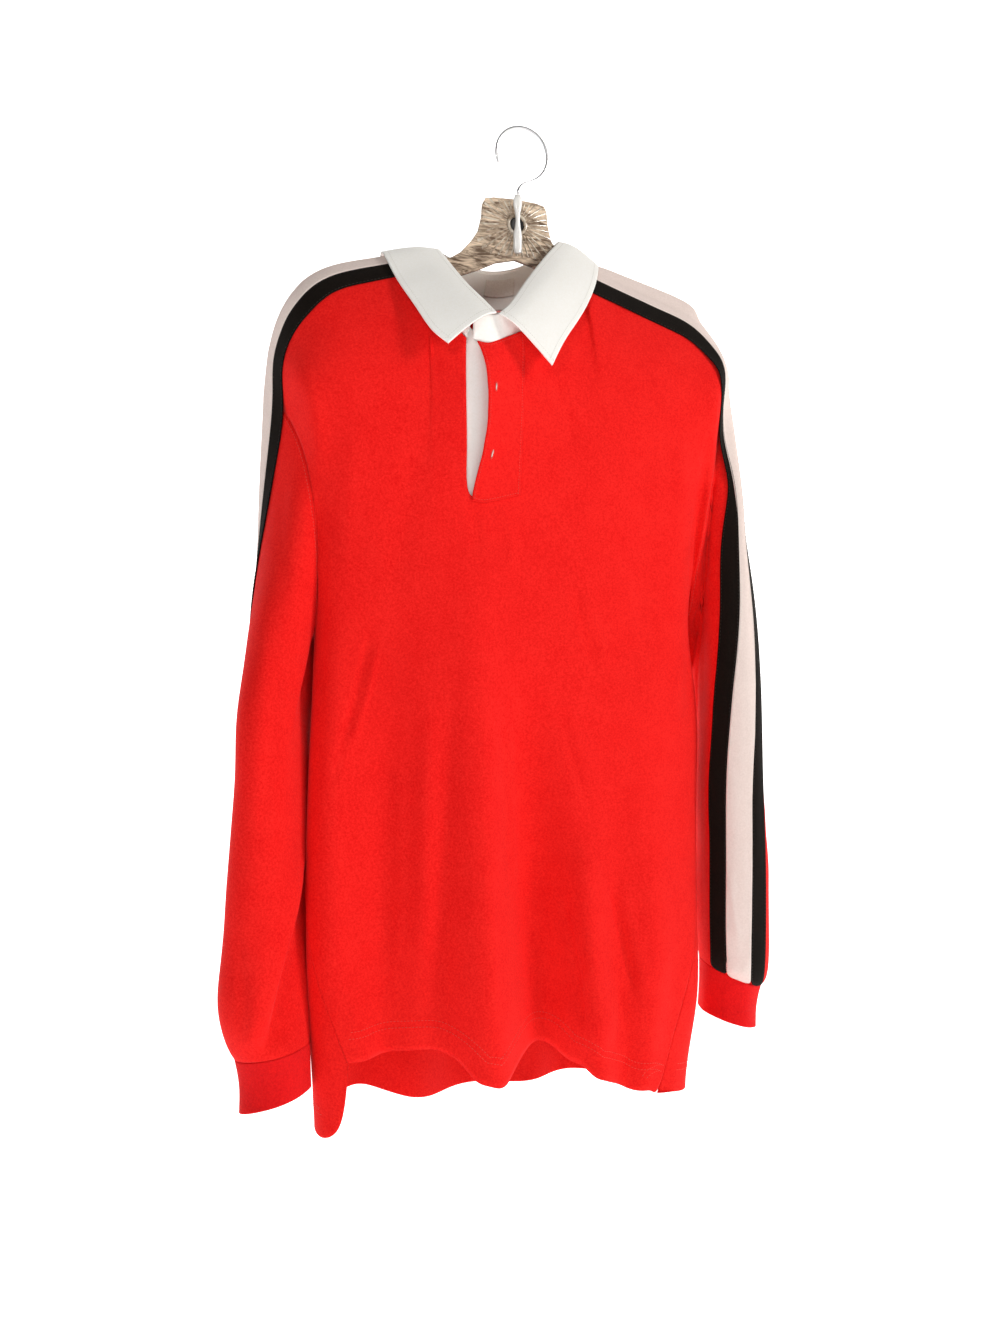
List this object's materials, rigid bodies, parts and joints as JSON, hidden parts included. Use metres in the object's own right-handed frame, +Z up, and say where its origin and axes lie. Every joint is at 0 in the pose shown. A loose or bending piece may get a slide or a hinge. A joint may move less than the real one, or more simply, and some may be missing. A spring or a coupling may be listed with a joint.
{
  "type": "long-sleeved polo shirt on a hanger",
  "caption": "Long-sleeved knit shirt with a white collar, open placket, taped shoulders and sleeves and ribbed cuffs, hanging on a plate-topped hanger.",
  "frame": {"origin": "inner top of the hanger's hook, where it bears on a rail", "axes": "+Z up, +X along the hanger to the viewer's right, -Y towards the shirt's front"},
  "size_m": [0.5768, 0.1557, 0.9643],
  "materials": {
    "red_knit": "mid-weight cotton jersey",
    "red_rib": "cotton rib",
    "white_knit": "cotton twill",
    "white_tape": "woven tape",
    "black_tape": "woven tape",
    "label_grey": "satin label",
    "button_white": "polished",
    "clear_plastic": "clear moulding, smoky",
    "hook_steel": "bright wire"
  },
  "bodies": {
    "root": {"front": "red_knit", "back": "red_knit", "sleeve_left": "red_knit", "sleeve_right": "red_knit", "placket_over": "red_knit", "cuff_left": "red_rib", "cuff_right": "red_rib", "collar_stand": "white_knit", "collar_leaf": "white_knit", "placket_under": "white_knit", "neck_tape": "white_knit", "tape_white_left": "white_tape", "tape_white_right": "white_tape", "tape_black_front_left": "black_tape", "tape_black_front_right": "black_tape", "tape_black_back_left": "black_tape", "tape_black_back_right": "black_tape", "neck_label": "label_grey", "button_upper": "button_white", "button_lower": "button_white", "hanger_body": "clear_plastic", "hanger_stem": "clear_plastic", "hanger_hook": "hook_steel"}
  },
  "joints": []
}
